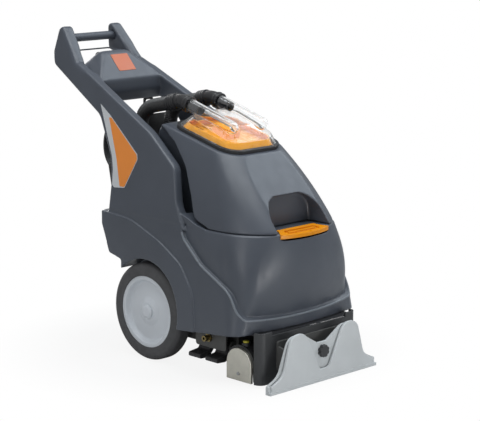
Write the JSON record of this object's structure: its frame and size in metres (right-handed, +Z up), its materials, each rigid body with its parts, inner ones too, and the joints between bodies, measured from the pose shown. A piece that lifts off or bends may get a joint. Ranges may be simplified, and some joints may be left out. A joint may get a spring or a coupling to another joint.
{
  "type": "carpet extractor",
  "caption": "Walk-behind carpet extractor: slate tank body on two wheels, lift-out recovery tank with clear dome and hoses, belt-driven brush, vacuum shoe and leaning handle arms.",
  "frame": {"origin": "on the floor, in the middle of the machine's length and width", "axes": "+X forward towards the vacuum shoe, +Y to the machine's left, +Z up"},
  "size_m": [0.975, 0.4696, 0.8854],
  "materials": {
    "slate_plastic": "slate grey rotationally moulded polyethylene, fine texture",
    "black_plastic": "black moulded plastic",
    "grey_plastic": "light grey moulded plastic",
    "shoe_plastic": "light grey satin plastic with rubbed edges",
    "orange_plastic": "orange moulded plastic",
    "clear_plastic": "clear polycarbonate",
    "float_plastic": "white hollow float",
    "black_rubber": "black rubber",
    "hose_plastic": "black ribbed hose",
    "grey_tyre": "grey non-marking rubber",
    "bright_steel": "bright steel",
    "black_painted_steel": "black powder coat",
    "grip_paint": "slate powder coat",
    "bail_paint": "grey coated wire",
    "plate_metal": "satin aluminium plate",
    "brass": "machined brass",
    "yellow_plastic": "yellow moulded plastic",
    "bristle_nylon": "black nylon tufts",
    "motor_casing": "dark painted casing"
  },
  "bodies": {
    "machine": {"lower_tank": "slate_plastic", "lid_pin": "bright_steel", "right_arm": "slate_plastic", "left_arm": "slate_plastic", "right_handle_cheek": "slate_plastic", "left_handle_cheek": "slate_plastic", "handle_bar": "grip_paint", "console_housing": "slate_plastic", "console_panel": "black_plastic", "cord_gland": "black_plastic", "cord_hook": "black_plastic", "rear_housing": "black_plastic", "rear_cover": "black_plastic", "vacuum_motor": "motor_casing", "wheel_axle": "bright_steel", "chassis_frame": "black_painted_steel", "brush_housing": "black_plastic", "drive_belt": "black_rubber", "brush_motor": "motor_casing", "right_end_plate": "plate_metal", "left_end_plate": "plate_metal", "front_apron": "black_painted_steel", "spray_bar": "black_plastic", "shoe_bracket": "black_painted_steel", "pedal_shaft": "bright_steel", "service_panel": "black_painted_steel", "brass_coupler": "brass", "solution_pump": "black_plastic", "housing_screws": "bright_steel"},
    "lid": {"fill_lid": "orange_plastic"},
    "recovery": {"recovery_tank": "slate_plastic", "dome_gasket": "black_rubber", "filter_tray": "orange_plastic", "float_cage": "black_plastic"},
    "float": {"float_ball": "float_plastic"},
    "dome": {"clear_dome": "clear_plastic", "right_elbow": "black_plastic", "left_elbow": "black_plastic", "right_hose": "hose_plastic", "left_hose": "hose_plastic"},
    "right_wheel": {"right_tyre": "grey_tyre", "right_hub": "grey_plastic", "right_hub_cap": "grey_plastic"},
    "left_wheel": {"left_tyre": "grey_tyre", "left_hub": "grey_plastic", "left_hub_cap": "grey_plastic"},
    "brush": {"brush_core": "black_plastic", "brush_bristles": "bristle_nylon", "brush_pulley": "black_plastic"},
    "belt_pinion": {"motor_pulley": "bright_steel"},
    "shoe": {"shoe_front_plate": "shoe_plastic", "shoe_rear_plate": "shoe_plastic"},
    "knob": {"shoe_knob": "black_plastic"},
    "bail": {"bail_wire": "bail_paint"},
    "brush_rocker": {"brush_switch": "black_plastic"},
    "vacuum_rocker": {"vacuum_switch": "black_plastic"},
    "pump_rocker": {"pump_switch": "black_plastic"},
    "front_foot_pedal": {"front_pedal": "black_plastic"},
    "rear_foot_pedal": {"rear_pedal": "black_plastic"},
    "button": {"release_button": "yellow_plastic"}
  },
  "joints": [
    {"name": "recovery_tank_lift", "type": "slide", "parent": "machine", "child": "recovery", "axis": [0, 0, 1], "range_m": [0, 0.25]},
    {"name": "dome_lift", "type": "slide", "parent": "recovery", "child": "dome", "axis": [0, 0, 1], "range_m": [0, 0.12]},
    {"name": "float_rise", "type": "slide", "parent": "recovery", "child": "float", "axis": [0.2419, 0, 0.9703], "range_m": [0, 0.04]},
    {"name": "fill_lid_hinge", "type": "hinge", "parent": "machine", "child": "lid", "pos_m": [0.374, 0, 0.391], "axis": [0, -1, 0], "range_deg": [0, 65]},
    {"name": "right_wheel_spin", "type": "hinge", "parent": "machine", "child": "right_wheel", "pos_m": [0.006, -0.181, 0.136], "axis": [0, 1, 0], "continuous": true},
    {"name": "left_wheel_spin", "type": "hinge", "parent": "machine", "child": "left_wheel", "pos_m": [0.006, 0.181, 0.136], "axis": [0, 1, 0], "continuous": true},
    {"name": "brush_spin", "type": "hinge", "parent": "machine", "child": "brush", "pos_m": [0.3535, 0, 0.045], "axis": [0, 1, 0], "continuous": true},
    {"name": "motor_pulley_spin", "type": "hinge", "parent": "machine", "child": "belt_pinion", "pos_m": [0.228, 0.164, 0.112], "axis": [0, 1, 0], "continuous": true},
    {"name": "shoe_float", "type": "slide", "parent": "machine", "child": "shoe", "axis": [0, 0, 1], "range_m": [-0.01, 0]},
    {"name": "shoe_knob_turn", "type": "hinge", "parent": "shoe", "child": "knob", "pos_m": [0.48, 0, 0.08], "axis": [1, 0, 0], "continuous": true},
    {"name": "bail_squeeze", "type": "hinge", "parent": "machine", "child": "bail", "pos_m": [-0.422, 0, 0.806], "axis": [0, 1, 0], "range_deg": [0, 25], "stiffness_Nm_per_rad": 0.4, "springref_deg": -17.19},
    {"name": "brush_switch_rock", "type": "hinge", "parent": "machine", "child": "brush_rocker", "pos_m": [-0.39319, -0.03, 0.79192], "axis": [0, 1, 0], "range_deg": [0, 16]},
    {"name": "vacuum_switch_rock", "type": "hinge", "parent": "machine", "child": "vacuum_rocker", "pos_m": [-0.39319, 0, 0.79192], "axis": [0, 1, 0], "range_deg": [0, 16]},
    {"name": "pump_switch_rock", "type": "hinge", "parent": "machine", "child": "pump_rocker", "pos_m": [-0.39319, 0.03, 0.79192], "axis": [0, 1, 0], "range_deg": [0, 16]},
    {"name": "front_pedal_press", "type": "hinge", "parent": "machine", "child": "front_foot_pedal", "pos_m": [0.23, -0.15, 0.082], "axis": [1, 0, 0], "range_deg": [0, 15], "stiffness_Nm_per_rad": 3, "springref_deg": -11.46},
    {"name": "rear_pedal_press", "type": "hinge", "parent": "machine", "child": "rear_foot_pedal", "pos_m": [0.23, -0.15, 0.082], "axis": [1, 0, 0], "range_deg": [0, 15], "stiffness_Nm_per_rad": 3, "springref_deg": -11.46},
    {"name": "release_button_press", "type": "slide", "parent": "machine", "child": "button", "axis": [0, 0, -1], "range_m": [0, 0.004], "stiffness_N_per_m": 400, "springref_m": -0.002}
  ],
  "couplings": [
    {"joint": "motor_pulley_spin", "follows": "brush_spin", "ratio": 1.5}
  ]
}
